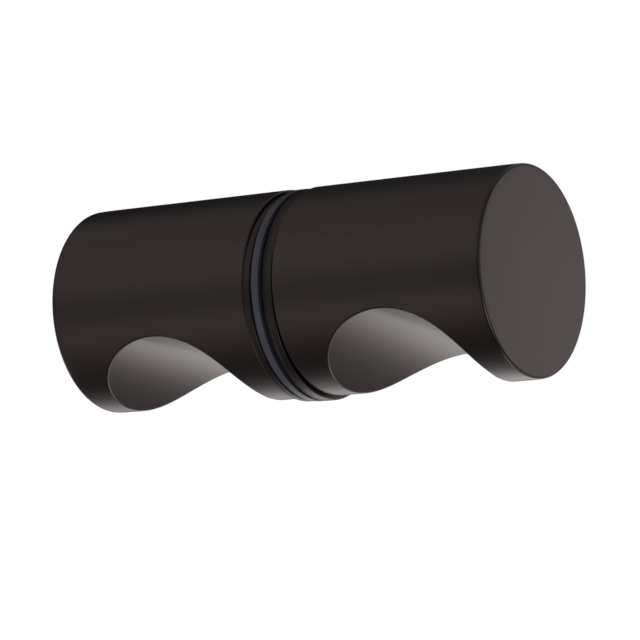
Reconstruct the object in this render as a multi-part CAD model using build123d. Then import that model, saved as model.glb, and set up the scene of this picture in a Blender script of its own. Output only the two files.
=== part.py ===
from build123d import *
import math
import os

# Back-to-back handle for a glass shower door: two solid cylindrical knobs on one stud,
# with a backing ring and a clear gasket for each side of the glass.
# Millimetres, +Z up. The knobs' axis lies along X, with the outside knob at +X.
# The origin is on that axis, at the middle of the joint, where the glass goes.

# knobs
knob_diameter = 32.0
knob_length = 36.0
outer_edge_chamfer = 0.35
inner_edge_chamfer = 0.25
notch_radius = 14.4
notch_depth = 8.25
notch_edge_chamfer = 0.22
# the knobs stop this far off straight down on the thread, one each way
knob_turn = 2.0

# rings and gaskets of the joint: the rings are a hair smaller in radius than the knobs,
# and the soft gaskets a little larger
ring_inset = 0.05
ring_thickness = 1.2
ring_edge_chamfer = 0.15
gasket_overhang = 0.3
gasket_thickness = 1.35
# how far the loose pieces hang below the axis, and how far the gaskets lie to one side
ring_drop = 0.6
outside_gasket_drop = 0.1
outside_gasket_slip = 1.2
inside_gasket_drop = 0.22
inside_gasket_slip = 0.6

# stud, its holes and the sleeve round it
stud_diameter = 8.0
stud_length = 40.0
stud_chamfer = 0.8
thread_clearance = 0.05
hole_end_room = 1.0
drill_point_angle = 118.0
hole_mouth_chamfer = 0.5
sleeve_diameter = 11.6
sleeve_length = 12.0
sleeve_bore_clearance = 0.2
counterbore_clearance = 0.3
counterbore_end_room = 0.5
# the air left where one round piece hangs on another
rest_gap = 0.05

knob_radius = knob_diameter / 2
joint_half = ring_thickness + gasket_thickness
stud_reach = stud_length / 2 - joint_half
counterbore_depth = sleeve_length / 2 - joint_half + counterbore_end_room
ring_bore = sleeve_diameter / 2 + ring_drop + rest_gap
gasket_off_centre = max(math.hypot(outside_gasket_drop, outside_gasket_slip),
                        math.hypot(inside_gasket_drop, inside_gasket_slip))
gasket_bore = sleeve_diameter / 2 + gasket_off_centre + rest_gap


def rod(radius, start, end):
    """A plain rod along X from start to end."""
    return Pos((start + end) / 2, 0, 0) * Rot(0, 90, 0) * Cylinder(radius, end - start)


def end_edges(solid, x):
    """The round edges of a solid that lie in the plane at x."""
    return [e for e in solid.edges() if abs(e.bounding_box().min.X - x) < 1e-4
            and abs(e.bounding_box().max.X - x) < 1e-4]


def stud_hole():
    """The blind hole for the stud, with its drill point, from the knob's inner face at x = 0."""
    radius = stud_diameter / 2 + thread_clearance
    depth = stud_reach + hole_end_room
    point = radius / math.tan(math.radians(drill_point_angle / 2))
    mouth = counterbore_depth
    profile = Polyline((0, 0), (0, radius + hole_mouth_chamfer), (mouth, radius + hole_mouth_chamfer),
                       (mouth + hole_mouth_chamfer, radius), (depth, radius), (depth + point, 0), close=True)
    return revolve(make_face(profile), Axis.X)


def knob():
    """One knob with its inner face at x = 0 and its notch straight down."""
    body = rod(knob_radius, 0, knob_length)
    middle = knob_length / 2
    cutter = Rot(90, 0, 0) * Cylinder(notch_radius, 2 * knob_diameter)
    cutter = Pos(middle, 0, -knob_radius + notch_depth - notch_radius) * cutter
    notched = body - cutter
    body = chamfer(new_edges(body, cutter, combined=notched), notch_edge_chamfer)
    body = chamfer(end_edges(body, knob_length), outer_edge_chamfer)
    body = chamfer(end_edges(body, 0), inner_edge_chamfer)
    body -= rod(sleeve_diameter / 2 + counterbore_clearance, 0, counterbore_depth)
    return body - stud_hole()


def ring_disc():
    """One turned ring with both outer edges broken, where it lies on the +X side."""
    start = gasket_thickness
    ring = rod(knob_radius - ring_inset, start, start + ring_thickness)
    ring = chamfer(ring.edges().filter_by(GeomType.CIRCLE), ring_edge_chamfer)
    return ring - rod(ring_bore, start, start + ring_thickness)


def gasket_disc():
    """One gasket with the square edges of a disc punched from sheet, where it lies on the +X side."""
    gasket = rod(knob_radius + gasket_overhang, 0, gasket_thickness)
    return gasket - rod(gasket_bore, 0, gasket_thickness)


def make_parts():
    half_turn = Rot(0, 0, 180)
    placed_knob = Pos(joint_half, 0, 0) * Rot(-knob_turn, 0, 0) * knob()
    ring = ring_disc()
    gasket = gasket_disc()
    stud = rod(stud_diameter / 2, -stud_length / 2, stud_length / 2)
    stud = chamfer(stud.edges().filter_by(GeomType.CIRCLE), stud_chamfer)
    sleeve = rod(sleeve_diameter / 2, -sleeve_length / 2, sleeve_length / 2)
    sleeve -= rod(stud_diameter / 2 + sleeve_bore_clearance, -sleeve_length / 2, sleeve_length / 2)
    return {
        "outside_knob": placed_knob,
        "inside_knob": half_turn * placed_knob,
        "outside_ring": Pos(0, 0, -ring_drop) * ring,
        "inside_ring": Pos(0, 0, -ring_drop) * half_turn * ring,
        "outside_gasket": Pos(0, outside_gasket_slip, -outside_gasket_drop) * gasket,
        "inside_gasket": Pos(0, inside_gasket_slip, -inside_gasket_drop) * half_turn * gasket,
        "stud": stud,
        "sleeve": sleeve,
    }


os.makedirs("parts", exist_ok=True)
for name, shape in make_parts().items():
    export_step(shape, f"parts/{name}.step")
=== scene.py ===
import bpy
import math
from mathutils import Matrix, Vector


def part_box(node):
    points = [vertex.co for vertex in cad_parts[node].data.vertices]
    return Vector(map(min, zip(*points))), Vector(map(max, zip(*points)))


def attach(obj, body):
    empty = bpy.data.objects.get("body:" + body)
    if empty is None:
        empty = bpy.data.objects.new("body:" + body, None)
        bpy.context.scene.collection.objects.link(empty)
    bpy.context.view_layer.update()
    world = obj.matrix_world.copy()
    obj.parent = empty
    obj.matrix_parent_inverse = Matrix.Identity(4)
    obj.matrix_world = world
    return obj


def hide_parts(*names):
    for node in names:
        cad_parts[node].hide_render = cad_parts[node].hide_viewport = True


# Back-to-back shower door handle: two notched knobs, two rings, two gaskets, a stud and its sleeve.
# Metres. The knobs' axis lies along X, and the glass would stand in the plane x = 0.

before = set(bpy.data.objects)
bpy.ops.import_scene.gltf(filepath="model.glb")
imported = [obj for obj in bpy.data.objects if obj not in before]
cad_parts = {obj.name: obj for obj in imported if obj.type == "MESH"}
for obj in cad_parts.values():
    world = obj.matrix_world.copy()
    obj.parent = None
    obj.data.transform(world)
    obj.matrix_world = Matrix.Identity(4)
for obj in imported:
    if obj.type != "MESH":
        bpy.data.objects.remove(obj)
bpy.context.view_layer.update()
mm = 0.001
hair = 0.001 * mm  # places closer than this are the same
over = 1 * mm  # how far a cutter stands past what it cuts
white = (1, 1, 1, 1)


# small modelling helpers

def deselectAll():
    if bpy.context.object and bpy.context.object.mode != "OBJECT":
        bpy.ops.object.mode_set(mode="OBJECT")
    bpy.ops.object.select_all(action="DESELECT")


def pick(piece):
    deselectAll()
    bpy.context.view_layer.objects.active = piece
    piece.select_set(True)


def settle(piece):  # the place goes into the mesh, as on a CAD node
    pick(piece)
    bpy.ops.object.transform_apply(location=True, rotation=True, scale=True)


def heading(azimuth, elevation):  # a direction, with azimuth in degrees from the front towards +X
    turn = math.radians(azimuth)
    lift = math.radians(elevation)
    return Vector((math.sin(turn) * math.cos(lift), -math.cos(turn) * math.cos(lift), math.sin(lift)))


def addRod(radius, start, end, sides):  # a closed rod along X
    deselectAll()
    bpy.ops.mesh.primitive_cylinder_add(vertices=sides, radius=radius, depth=end - start,
                                        location=((start + end) / 2, 0, 0), rotation=(0, math.pi / 2, 0))
    rod = bpy.context.object
    settle(rod)
    return rod


def cutAway(piece, cutter, operation="DIFFERENCE"):
    pick(piece)
    bpy.ops.object.modifier_add(type="BOOLEAN")
    cut = piece.modifiers[-1]
    cut.operation = operation
    cut.solver = "EXACT"
    cut.object = cutter
    bpy.ops.object.modifier_apply(modifier=cut.name)
    bpy.data.objects.remove(cutter)


def bevelEdges(piece, chosen, width, segments):  # chosen takes an edge's two ends
    pick(piece)
    bpy.ops.object.mode_set(mode="EDIT")
    bpy.ops.mesh.select_mode(type="EDGE")
    bpy.ops.mesh.select_all(action="DESELECT")
    bpy.ops.object.mode_set(mode="OBJECT")
    points = piece.data.vertices
    for edge in piece.data.edges:
        a, b = (points[i].co for i in edge.vertices)
        edge.select = chosen(a, b)
    bpy.ops.object.mode_set(mode="EDIT")
    bpy.ops.mesh.bevel(offset=width, segments=segments, affect="EDGES", clamp_overlap=False)
    bpy.ops.object.mode_set(mode="OBJECT")


def mergeDoubles(piece, distance):
    pick(piece)
    bpy.ops.object.mode_set(mode="EDIT")
    bpy.ops.mesh.select_all(action="SELECT")
    bpy.ops.mesh.remove_doubles(threshold=distance)
    bpy.ops.object.mode_set(mode="OBJECT")


flatPull = 80  # above 50, larger faces count for more in the shading


def smoothShade(piece, degrees):  # edges sharper than this many degrees stay crisp
    pick(piece)
    bpy.ops.object.shade_smooth_by_angle(angle=math.radians(degrees))
    bpy.ops.object.modifier_add(type="WEIGHTED_NORMAL")
    weighted = piece.modifiers[-1]
    weighted.keep_sharp = True
    weighted.weight = flatPull
    bpy.ops.object.modifier_apply(modifier=weighted.name)


def halfTurnCopy(piece):  # the same piece on the other side of the glass
    pick(piece)
    bpy.ops.object.duplicate(linked=False)
    copy = bpy.context.object
    copy.rotation_euler = (0, 0, math.pi)
    settle(copy)
    return copy


def finishPiece(piece, name, material, node):
    piece.name = name
    piece.data.name = name
    piece.data.materials.clear()
    piece.data.materials.append(material)
    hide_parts(node)
    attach(piece, "root")
    print("piece", name, "faces", len(piece.data.polygons))


# materials

def newMaterial(name):
    material = bpy.data.materials.new(name)
    material.use_nodes = True
    tree = material.node_tree
    shader = tree.nodes["Principled BSDF"]
    return material, tree, shader


def noiseNode(tree, scale, detail, roughness=0.5):
    place = tree.nodes.new("ShaderNodeTexCoord")
    noise = tree.nodes.new("ShaderNodeTexNoise")
    noise.inputs["Scale"].default_value = scale
    noise.inputs["Detail"].default_value = detail
    noise.inputs["Roughness"].default_value = roughness
    tree.links.new(place.outputs["Object"], noise.inputs["Vector"])
    return noise


noiseMiddle = (0.3, 0.7)  # nearly all of a noise lies between these


def spreadNode(tree, source, low, high):  # maps the middle of a noise onto low to high
    spread = tree.nodes.new("ShaderNodeMapRange")
    spread.inputs["From Min"].default_value = noiseMiddle[0]
    spread.inputs["From Max"].default_value = noiseMiddle[1]
    spread.inputs["To Min"].default_value = low
    spread.inputs["To Max"].default_value = high
    tree.links.new(source, spread.inputs["Value"])
    return spread


def mixColours(tree, factor, first, second):
    mix = tree.nodes.new("ShaderNodeMix")
    mix.data_type = "RGBA"
    mix.inputs["A"].default_value = (*first, 1)
    mix.inputs["B"].default_value = (*second, 1)
    tree.links.new(factor, mix.inputs["Factor"])
    return mix.outputs["Result"]


bronze = {
    "ringPaintedShade": 0.7,  # the rings' colour is painted darker than the knobs', as painted shade for their place in the joint between the knobs; they are also a little duller for their turned finish
    "ringRough": 0.08,
    "dark": (0.0385, 0.0304, 0.0292),
    "warm": (0.0415, 0.0328, 0.0316),
    "metallic": 0.95,
    "cloudScale": 45.0,
    "cloudDetail": 3.0,
    "grainScale": 2600.0,
    "grainDetail": 4.0,
    "grainRoughness": 0.6,
    "roughLow": 0.20,
    "roughHigh": 0.24,
    "bumpDepth": 0.004 * mm,
    "bumpStrength": 0.25,
}


def bronzeMaterial(name, shade, extraRough):
    material, tree, shader = newMaterial(name)
    clouds = noiseNode(tree, bronze["cloudScale"], bronze["cloudDetail"])
    grain = noiseNode(tree, bronze["grainScale"], bronze["grainDetail"], bronze["grainRoughness"])
    dark = [shade * part for part in bronze["dark"]]
    warm = [shade * part for part in bronze["warm"]]
    tint = mixColours(tree, clouds.outputs["Fac"], dark, warm)
    tree.links.new(tint, shader.inputs["Base Color"])
    rough = spreadNode(tree, grain.outputs["Fac"],
                       bronze["roughLow"] + extraRough, bronze["roughHigh"] + extraRough)
    tree.links.new(rough.outputs["Result"], shader.inputs["Roughness"])
    bump = tree.nodes.new("ShaderNodeBump")
    bump.inputs["Strength"].default_value = bronze["bumpStrength"]
    bump.inputs["Distance"].default_value = bronze["bumpDepth"]
    tree.links.new(grain.outputs["Fac"], bump.inputs["Height"])
    tree.links.new(bump.outputs["Normal"], shader.inputs["Normal"])
    shader.inputs["Metallic"].default_value = bronze["metallic"]
    return material


vinyl = {
    # the two colours that each disc's cloudy edge varies between; the outside disc's pair is near black,
    # painted shade for a disc set back in the shadowed groove between gasket and ring
    "inside": ((0.036, 0.036, 0.051), (0.062, 0.062, 0.083)),
    "outside": ((0.005, 0.005, 0.007), (0.008, 0.008, 0.011)),
    "cloudScale": 260.0,
    "cloudDetail": 3.0,
    "bumpDepth": 0.05 * mm,
    "bumpStrength": 0.4,
    "roughness": 0.25,
    # the outside disc's lower gloss is part of the same painted shade
    "gloss": {"inside": 0.2, "outside": 0.08},
    "transmission": 0.2,
    "ior": 1.5,
}


# the outside disc gets a painted-shade copy of the inside disc's vinyl
def vinylMaterial(side):
    material, tree, shader = newMaterial(side + "Vinyl")
    clouds = noiseNode(tree, vinyl["cloudScale"], vinyl["cloudDetail"])
    tint = mixColours(tree, clouds.outputs["Fac"], *vinyl[side])
    tree.links.new(tint, shader.inputs["Base Color"])
    bump = tree.nodes.new("ShaderNodeBump")
    bump.inputs["Strength"].default_value = vinyl["bumpStrength"]
    bump.inputs["Distance"].default_value = vinyl["bumpDepth"]
    tree.links.new(clouds.outputs["Fac"], bump.inputs["Height"])
    tree.links.new(bump.outputs["Normal"], shader.inputs["Normal"])
    shader.inputs["Roughness"].default_value = vinyl["roughness"]
    shader.inputs["Specular IOR Level"].default_value = vinyl["gloss"][side]
    shader.inputs["Transmission Weight"].default_value = vinyl["transmission"]
    shader.inputs["IOR"].default_value = vinyl["ior"]
    return material


steel = {
    "dark": (0.42, 0.42, 0.43),
    "light": (0.55, 0.55, 0.56),
    "speckleScale": 900.0,
    "speckleDetail": 2.0,
    "metallic": 1.0,
    "roughness": 0.35,
}


def steelMaterial():
    material, tree, shader = newMaterial("studSteel")
    speckles = noiseNode(tree, steel["speckleScale"], steel["speckleDetail"])
    tint = mixColours(tree, speckles.outputs["Fac"], steel["dark"], steel["light"])
    tree.links.new(tint, shader.inputs["Base Color"])
    shader.inputs["Metallic"].default_value = steel["metallic"]
    shader.inputs["Roughness"].default_value = steel["roughness"]
    return material


nylon = {
    "dark": (0.78, 0.78, 0.75),
    "light": (0.84, 0.84, 0.81),
    "cloudScale": 400.0,
    "cloudDetail": 2.0,
    "roughness": 0.5,
    "subsurface": 0.1,
}


def nylonMaterial():
    material, tree, shader = newMaterial("sleeveNylon")
    clouds = noiseNode(tree, nylon["cloudScale"], nylon["cloudDetail"])
    tint = mixColours(tree, clouds.outputs["Fac"], nylon["dark"], nylon["light"])
    tree.links.new(tint, shader.inputs["Base Color"])
    shader.inputs["Roughness"].default_value = nylon["roughness"]
    shader.inputs["Subsurface Weight"].default_value = nylon["subsurface"]
    return material


knobBronze = bronzeMaterial("satinBronze", 1.0, 0.0)
# the same bronze with its colour darkened, as painted shade in the joint
ringBronze = bronzeMaterial("ringBronze", bronze["ringPaintedShade"], bronze["ringRough"])
studSteel = steelMaterial()
sleeveNylon = nylonMaterial()
print("materials made")


# knobs

knob = {
    "sides": 180,
    "notchRadius": 14.4 * mm,
    "notchDepth": 8.25 * mm,
    "notchSides": 125,
    "turn": math.radians(-2.0),  # how far the knob stops off straight down
    "outerRound": 0.3 * mm,
    # buffing softens the outer end on both sides of its edge, in steps towards the edge
    "buffedRun": (0.9 * mm, 0.9 * mm, 0.7 * mm, 0.5 * mm),
    "buffedDrop": (0.003 * mm, 0.012 * mm, 0.02 * mm, 0.025 * mm),
    "crown": 0.15 * mm,  # how far the outer face would swell at its middle
    "crownRings": (13 * mm, 11.5 * mm, 9.5 * mm, 7 * mm, 4 * mm),  # the radii it climbs through
    "endFacing": 0.9,  # a face with more of +X than this in its normal is the outer end
    "innerRound": 0.25 * mm,
    "notchRound": 0.26 * mm,
    "roundSteps": 4,
    "mergeWithin": 0.01 * mm,
    "notchWithin": 0.02 * mm,  # how near the notch's and the side's faces an edge counts as theirs
    "sideWithin": 0.03 * mm,
    "smoothAngle": 35,
    "holeSides": 64,
    "holeRadius": 4.05 * mm,
    "holeDepth": 18.45 * mm,
    "holePoint": 2.43 * mm,
    "pointOverlap": 0.01 * mm,
    "mouthRadius": 6.1 * mm,
    "mouthDepth": 3.95 * mm,
}


def notchHeight(knobRadius):  # where the notch's own axis lies
    return -knobRadius + knob["notchDepth"] - knob["notchRadius"]


def notchCutter(middle, knobRadius):  # twice as long as the knob is wide
    deselectAll()
    bpy.ops.mesh.primitive_cylinder_add(vertices=knob["notchSides"], radius=knob["notchRadius"],
                                        depth=4 * knobRadius, location=(middle, 0, notchHeight(knobRadius)),
                                        rotation=(math.pi / 2, 0, 0))
    cutter = bpy.context.object
    settle(cutter)
    return cutter


def holeTip(start, radius, length):
    deselectAll()
    bpy.ops.mesh.primitive_cone_add(vertices=knob["holeSides"], radius1=radius, radius2=0, depth=length,
                                    location=(start + length / 2, 0, 0), rotation=(0, math.pi / 2, 0))
    tip = bpy.context.object
    settle(tip)
    return tip


def faceRadius(knobRadius):  # where the buffed edge stops and the crowned face starts
    return knobRadius - sum(knob["buffedDrop"]) - sum(knob["buffedRun"])


def crownRise(outer, inner, edge):  # how much the crowned face climbs from one ring in to the next
    return knob["crown"] * (outer ** 2 - inner ** 2) / edge ** 2


def buffEnd(body, radius):  # draws the outer end out in small steps, along the side and then over the face
    pick(body)
    bpy.ops.object.mode_set(mode="EDIT")
    bpy.ops.mesh.select_mode(type="FACE")
    bpy.ops.mesh.select_all(action="DESELECT")
    bpy.ops.object.mode_set(mode="OBJECT")
    for face in body.data.polygons:
        face.select = face.normal.x > knob["endFacing"]
    bpy.ops.object.mode_set(mode="EDIT")
    for run, drop in zip(knob["buffedRun"], knob["buffedDrop"]):
        bpy.ops.mesh.extrude_region_move(TRANSFORM_OT_translate={"value": (run, 0, 0)})
        shrink = (radius - drop) / radius
        bpy.ops.transform.resize(value=(1, shrink, shrink), center_override=(0, 0, 0))
        radius -= drop
    for run, drop in zip(reversed(knob["buffedRun"]), reversed(knob["buffedDrop"])):
        bpy.ops.mesh.inset(thickness=run, depth=drop)
        radius -= run
    rings = (radius, *knob["crownRings"])
    for outer, inner in zip(rings, rings[1:]):
        bpy.ops.mesh.inset(thickness=outer - inner, depth=crownRise(outer, inner, radius))
    bpy.ops.object.mode_set(mode="OBJECT")


def makeKnob():
    low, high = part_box("outside_knob")
    start, end = low.x, high.x
    radius = (high.y - low.y) / 2
    middle = (start + end) / 2
    edge = faceRadius(radius)
    rim = end - sum(knob["buffedDrop"]) - crownRise(edge, knob["crownRings"][-1], edge)
    body = addRod(radius, start, rim - sum(knob["buffedRun"]), knob["sides"])
    buffEnd(body, radius)
    cutAway(body, notchCutter(middle, radius))
    mergeDoubles(body, knob["mergeWithin"])

    def onNotch(p):
        away = math.hypot(p.x - middle, p.z - notchHeight(radius))
        return abs(away - knob["notchRadius"]) < knob["notchWithin"]

    def onSide(p):
        return math.hypot(p.y, p.z) > radius - knob["sideWithin"]

    def onRing(a, b, x):
        return all(abs(p.x - x) < hair for p in (a, b))

    bevelEdges(body, lambda a, b: all(onNotch(p) and onSide(p) for p in (a, b)),
               knob["notchRound"], knob["roundSteps"])
    bevelEdges(body, lambda a, b: onRing(a, b, rim), knob["outerRound"], knob["roundSteps"])
    bevelEdges(body, lambda a, b: onRing(a, b, start), knob["innerRound"], knob["roundSteps"])
    sides = knob["holeSides"]
    cutAway(body, addRod(knob["mouthRadius"], start - over, start + knob["mouthDepth"], sides))
    cutAway(body, addRod(knob["holeRadius"], start - over, start + knob["holeDepth"], sides))
    tipStart = start + knob["holeDepth"] - knob["pointOverlap"]
    cutAway(body, holeTip(tipStart, knob["holeRadius"], knob["holePoint"]))
    body.rotation_euler = (knob["turn"], 0, 0)
    settle(body)
    smoothShade(body, knob["smoothAngle"])
    return body


outsideKnob = makeKnob()
insideKnob = halfTurnCopy(outsideKnob)
finishPiece(outsideKnob, "outsideKnobBody", knobBronze, "outside_knob")
finishPiece(insideKnob, "insideKnobBody", knobBronze, "inside_knob")
print("knobs made")


# rings and gaskets

ring = {
    "sides": 180,
    "airFilm": 0.0,
    "bore": 6.45 * mm,
    "boreSides": 72,
    "knobSideRound": 0.16 * mm,
    "glassSideRound": 0.16 * mm,
    "roundSteps": 3,
    "boreRound": 0.1 * mm,
    "boreSteps": 2,
    "edgeWithin": 0.1 * mm,  # how near the rim or the bore an edge counts as its own
    "smoothAngle": 50,
}
gasket = {
    "sides": 240,
    "airFilm": 0.01 * mm,  # it touches its neighbours dry, so light still bounces along inside it
    "bore": 7.054 * mm,
    "boreSides": 72,
    "knobSideRound": 0.12 * mm,  # the punch rolls one edge and leaves the other nearly square
    "glassSideRound": 0.07 * mm,
    "roundSteps": 4,
    "boreRound": 0.1 * mm,
    "boreSteps": 2,
    "edgeWithin": 0.1 * mm,
    "smoothAngle": 50,
    "ripple": 0.05 * mm,  # how far the soft rim wanders
    "rippleSize": 1.4 * mm,
    "rippleBand": 1.2,  # how deep it wanders, in widths of the rolled edge
}


def makeDisc(node, values):  # a flat disc with a hole, turned or punched, where its node is
    low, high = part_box(node)
    middleY = (low.y + high.y) / 2
    middleZ = (low.z + high.z) / 2
    radius = (high.z - low.z) / 2
    left, right = low.x + values["airFilm"], high.x - values["airFilm"]
    disc = addRod(radius, left, right, values["sides"])
    cutAway(disc, addRod(values["bore"], low.x - over, high.x + over, values["boreSides"]))
    glassSide, knobSide = sorted((left, right), key=abs)
    rimStart = radius - values["edgeWithin"]
    boreEnd = values["bore"] + values["edgeWithin"]

    def onRim(a, b, face):
        return all(math.hypot(p.y, p.z) > rimStart and abs(p.x - face) < hair for p in (a, b))

    def onBore(a, b):
        return all(math.hypot(p.y, p.z) < boreEnd for p in (a, b)) and abs(a.x - b.x) < hair

    bevelEdges(disc, lambda a, b: onRim(a, b, knobSide), values["knobSideRound"], values["roundSteps"])
    bevelEdges(disc, lambda a, b: onRim(a, b, glassSide), values["glassSideRound"], values["roundSteps"])
    bevelEdges(disc, onBore, values["boreRound"], values["boreSteps"])
    disc.location = (0, middleY, middleZ)
    settle(disc)
    return disc


def rippleRim(piece, node):  # soft sheet never keeps a true edge
    low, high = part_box(node)
    centre = Vector((0, (low.y + high.y) / 2, (low.z + high.z) / 2))
    radius = (high.z - low.z) / 2
    clouds = bpy.data.textures.new(piece.name + "Ripple", type="CLOUDS")
    clouds.noise_scale = gasket["rippleSize"]
    rim = piece.vertex_groups.new(name="rim")
    for v in piece.data.vertices:
        out = math.hypot(v.co.y - centre.y, v.co.z - centre.z)
        if out > radius - gasket["rippleBand"] * gasket["knobSideRound"]:
            rim.add([v.index], 1.0, "REPLACE")
    pick(piece)
    bpy.ops.object.modifier_add(type="DISPLACE")
    wander = piece.modifiers[-1]
    wander.texture = clouds
    wander.texture_coords = "LOCAL"
    wander.vertex_group = "rim"
    wander.strength = gasket["ripple"]
    wander.mid_level = 1.0  # only ever inwards, so the disc keeps its size
    bpy.ops.object.modifier_apply(modifier=wander.name)
    piece.vertex_groups.clear()


for side in ("outside", "inside"):
    piece = makeDisc(side + "_ring", ring)
    smoothShade(piece, ring["smoothAngle"])
    finishPiece(piece, side + "RingBody", ringBronze, side + "_ring")
    piece = makeDisc(side + "_gasket", gasket)
    rippleRim(piece, side + "_gasket")
    smoothShade(piece, gasket["smoothAngle"])
    finishPiece(piece, side + "GasketBody", vinylMaterial(side), side + "_gasket")
print("rings and gaskets made")


# stud and sleeve, hidden inside

stud = {
    "pitch": 1.25 * mm,
    "threadDepth": 0.77 * mm,
    "crestFlat": 0.16 * mm,
    "rootFlat": 0.31 * mm,
    "stepsPerTurn": 40,
    "spareTurns": 3,  # thread to trim off, half of it at each end
    "mergeWithin": 0.001 * mm,
    "tipChamfer": 0.8 * mm,
    "blankOver": 0.05 * mm,  # the blank that trims the ends stands this far outside the crests
    "blankSides": 80,
    "smoothAngle": 25,
}


def makeStud():  # one pitch of thread screwed along the stud, then both ends trimmed with a chamfer
    low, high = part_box("stud")
    radius = (high.z - low.z) / 2
    length = high.x - low.x
    root = radius - stud["threadDepth"]
    slope = (stud["pitch"] - stud["crestFlat"] - stud["rootFlat"]) / 2
    turns = math.ceil(length / stud["pitch"]) + stud["spareTurns"]
    profile = [(root, 0), (root, stud["rootFlat"]), (radius, stud["rootFlat"] + slope),
               (radius, stud["rootFlat"] + slope + stud["crestFlat"]), (root, stud["pitch"])]
    mesh = bpy.data.meshes.new("studThread")
    start = low.x - stud["spareTurns"] / 2 * stud["pitch"]
    mesh.from_pydata([(start + along, 0, out) for out, along in profile],
                     [(i, i + 1) for i in range(len(profile) - 1)], [])
    thread = bpy.data.objects.new("studThread", mesh)
    bpy.context.scene.collection.objects.link(thread)
    pick(thread)
    bpy.ops.object.modifier_add(type="SCREW")
    winding = thread.modifiers[-1]
    winding.axis = "X"
    winding.screw_offset = stud["pitch"]
    winding.iterations = turns
    winding.steps = stud["stepsPerTurn"]
    winding.render_steps = stud["stepsPerTurn"]
    winding.use_merge_vertices = True
    winding.merge_threshold = stud["mergeWithin"]
    bpy.ops.object.modifier_apply(modifier=winding.name)
    mergeDoubles(thread, stud["mergeWithin"])
    bpy.ops.object.mode_set(mode="EDIT")
    bpy.ops.mesh.select_all(action="SELECT")
    bpy.ops.mesh.fill_holes(sides=0)
    bpy.ops.mesh.select_all(action="SELECT")
    bpy.ops.mesh.normals_make_consistent(inside=False)
    bpy.ops.object.mode_set(mode="OBJECT")
    blank = addRod(radius + stud["blankOver"], low.x, high.x, stud["blankSides"])
    bevelEdges(blank, lambda a, b: abs(a.x - b.x) < hair, stud["tipChamfer"] + stud["blankOver"], 1)
    cutAway(thread, blank, "INTERSECT")
    smoothShade(thread, stud["smoothAngle"])
    return thread


sleeve = {
    "sides": 96,
    "bore": 4.2 * mm,
    "boreSides": 72,
    "endRound": 0.15 * mm,
    "roundSteps": 2,
    "sameRadius": 0.05 * mm,  # an edge whose ends differ by less than this runs round and not across
    "smoothAngle": 50,
}


def makeSleeve():
    low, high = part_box("sleeve")
    radius = (high.z - low.z) / 2
    tube = addRod(radius, low.x, high.x, sleeve["sides"])
    cutAway(tube, addRod(sleeve["bore"], low.x - over, high.x + over, sleeve["boreSides"]))

    def onEnd(a, b):
        runsRound = abs(math.hypot(a.y, a.z) - math.hypot(b.y, b.z)) < sleeve["sameRadius"]
        return runsRound and any(abs(a.x - x) < hair and abs(b.x - x) < hair for x in (low.x, high.x))

    bevelEdges(tube, onEnd, sleeve["endRound"], sleeve["roundSteps"])
    smoothShade(tube, sleeve["smoothAngle"])
    return tube


finishPiece(makeStud(), "studBody", studSteel, "stud")
finishPiece(makeSleeve(), "sleeveBody", sleeveNylon, "sleeve")
print("stud and sleeve made")


# floor, light and camera

floorPlan = {
    "drop": 0.6,
    "size": 30.0,
    "grey": 0.9,
    "roughness": 0.9,
    "glow": 0.6,  # it gives its own light and shows in no reflection, so it is pale from every side
}


def makeFloor():
    deselectAll()
    bpy.ops.mesh.primitive_plane_add(size=floorPlan["size"], location=(0, 0, -floorPlan["drop"]))
    floor = bpy.context.object
    floor.name = "floor"
    material, tree, shader = newMaterial("paleFloor")
    shader.inputs["Base Color"].default_value = (floorPlan["grey"],) * 3 + (1,)
    shader.inputs["Roughness"].default_value = floorPlan["roughness"]
    shader.inputs["Emission Color"].default_value = white
    shader.inputs["Emission Strength"].default_value = floorPlan["glow"]
    floor.data.materials.append(material)
    floor.visible_glossy = False
    floor.visible_diffuse = False
    floor.visible_transmission = False


makeFloor()

studio = {
    "backdrop": 1.0,
    "tints": {"plain": (1, 1, 1), "soft": (1, 0.95, 0.94), "warm": (1, 0.87, 0.86)},
    "lights": {  # azimuth, elevation and spread in degrees, strength and tint
        "panelLow": (-33, 8, 15, 0.58, "plain"),
        "panelMiddle": (-38, 29, 15, 0.57, "plain"),
        "panelHigh": (-52, 47, 15, 0.33, "warm"),
        "panelTop": (-82, 57, 15, 0.33, "warm"),
        "tableFront": (-38, -29, 15, 0.64, "plain"),
        "tableNear": (-48, -44, 15, 0.28, "warm"),
        "tableShade": (-75, -56, 15, 0.15, "warm"),
        "tableLeft": (-160, -45, 18, 0.6, "soft"),
        "tableBehind": (-162, -20, 15, 1.4, "soft"),
        "farBehind": (-178, -10, 15, 0.25, "plain"),
        "backPanel": (149, 11, 8.5, 1.16, "soft"),
        "sidePanel": (120, 10, 15, 0.6, "plain"),
        "tableRight": (150, -45, 23, 0.56, "plain"),
        "notchFill": (152, -18, 14, 0.3, "soft"),
        "edgeGlint": (68, -40, 9, 6.0, "plain"),
        "leftGlint": (-90, -30, 8, 3.5, "plain"),
        "notchGlint": (180, -66, 8, 4.0, "plain"),
        # from here on they light the sides that the main view hardly shows
        "sideFill": (75, 5, 20, 0.8, "plain"),
        "frontFill": (18, 12, 15, 0.45, "plain"),
        "frontHigh": (30, 48, 16, 0.5, "plain"),
        "frontLow": (15, -30, 14, 0.3, "plain"),
        "topFill": (100, 80, 14, 0.7, "plain"),
        "backFill": (165, 52, 16, 0.55, "plain"),
        "backLow": (180, 20, 12, 0.3, "plain"),
        "farEndFill": (-120, -12, 11, 0.7, "plain"),
        "leftFill": (-90, 0, 14, 0.7, "plain"),
    },
    "lowFill": {"azimuth": 25, "elevation": -60, "distance": 0.4, "size": 0.3, "power": 1.0},
}


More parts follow.
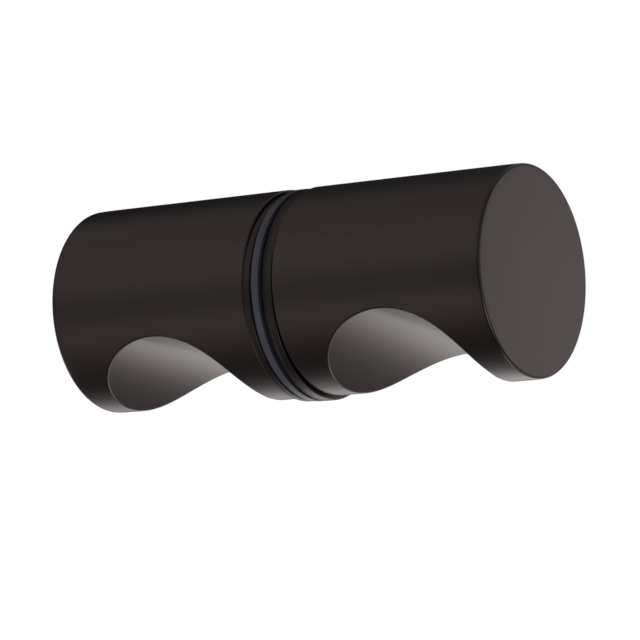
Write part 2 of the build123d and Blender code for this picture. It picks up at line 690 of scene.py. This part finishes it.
def lightLobe(tree, ray, azimuth, elevation, spread, strength, tint):  # one soft round light, far away
    sharpness = 1 / math.radians(spread) ** 2
    facing = tree.nodes.new("ShaderNodeVectorMath")
    facing.operation = "DOT_PRODUCT"
    facing.inputs[1].default_value = heading(azimuth, elevation)
    fall = tree.nodes.new("ShaderNodeMath")
    fall.operation = "MULTIPLY_ADD"
    fall.inputs[1].default_value = sharpness
    fall.inputs[2].default_value = -sharpness
    glow = tree.nodes.new("ShaderNodeMath")
    glow.operation = "EXPONENT"
    colour = tree.nodes.new("ShaderNodeVectorMath")
    colour.operation = "SCALE"
    colour.inputs[0].default_value = [strength * part for part in studio["tints"][tint]]
    tree.links.new(ray, facing.inputs[0])
    tree.links.new(facing.outputs["Value"], fall.inputs[0])
    tree.links.new(fall.outputs["Value"], glow.inputs[0])
    tree.links.new(glow.outputs["Value"], colour.inputs["Scale"])
    return colour.outputs["Vector"]


def makeStudio():  # white to the camera, and soft lights in the dark to everything else
    world = bpy.data.worlds.new("studio")
    bpy.context.scene.world = world
    world.use_nodes = True
    tree = world.node_tree
    tree.nodes.clear()
    coordinates = tree.nodes.new("ShaderNodeTexCoord")
    ray = tree.nodes.new("ShaderNodeVectorMath")
    ray.operation = "NORMALIZE"
    tree.links.new(coordinates.outputs["Generated"], ray.inputs[0])
    total = None
    for light in studio["lights"].values():
        colour = lightLobe(tree, ray.outputs["Vector"], *light)
        if total is not None:
            add = tree.nodes.new("ShaderNodeVectorMath")
            add.operation = "ADD"
            tree.links.new(total, add.inputs[0])
            tree.links.new(colour, add.inputs[1])
            colour = add.outputs["Vector"]
        total = colour
    lit = tree.nodes.new("ShaderNodeBackground")
    tree.links.new(total, lit.inputs["Color"])
    plain = tree.nodes.new("ShaderNodeBackground")
    plain.inputs["Color"].default_value = white
    plain.inputs["Strength"].default_value = studio["backdrop"]
    path = tree.nodes.new("ShaderNodeLightPath")
    choose = tree.nodes.new("ShaderNodeMixShader")
    output = tree.nodes.new("ShaderNodeOutputWorld")
    tree.links.new(path.outputs["Is Camera Ray"], choose.inputs[0])
    tree.links.new(lit.outputs["Background"], choose.inputs[1])
    tree.links.new(plain.outputs["Background"], choose.inputs[2])
    tree.links.new(choose.outputs["Shader"], output.inputs["Surface"])


def makeLowFill():  # a soft panel low in front, which brings out the clear gaskets
    values = studio["lowFill"]
    towards = heading(values["azimuth"], values["elevation"])
    deselectAll()
    bpy.ops.object.light_add(type="AREA", location=towards * values["distance"],
                             rotation=towards.to_track_quat("Z", "Y").to_euler())
    panel = bpy.context.object
    panel.name = "lowFill"
    panel.data.size = values["size"]
    panel.data.energy = values["power"]
    panel.visible_camera = False
    panel.visible_glossy = False


makeStudio()
makeLowFill()
print("floor and lights made")

shot = {
    "azimuth": 33.0824,
    "elevation": -8.2308,
    "tilt": 0.09055,  # how far the whole camera is swung about X, in radians
    "distance": 0.54767,
    "right": -0.000712,  # where the part's origin lies from the middle of the picture
    "up": 0.0042144,
    "lens": 201.75,
    "sensor": 36.0,
}


def makeCamera():
    back = heading(shot["azimuth"], shot["elevation"])
    right = heading(shot["azimuth"] + 90, 0)
    up = back.cross(right)
    turned = Matrix.Rotation(shot["tilt"], 3, "X")
    back, right, up = (turned @ v for v in (back, right, up))
    data = bpy.data.cameras.new("camera")
    data.lens = shot["lens"]
    data.sensor_width = shot["sensor"]
    camera = bpy.data.objects.new("camera", data)
    bpy.context.scene.collection.objects.link(camera)
    place = back * shot["distance"] - right * shot["right"] - up * shot["up"]
    camera.matrix_world = Matrix.Translation(place) @ Matrix((right, up, back)).transposed().to_4x4()
    bpy.context.scene.camera = camera


makeCamera()
print("camera made")
bpy.context.scene.view_settings.view_transform = "Standard"
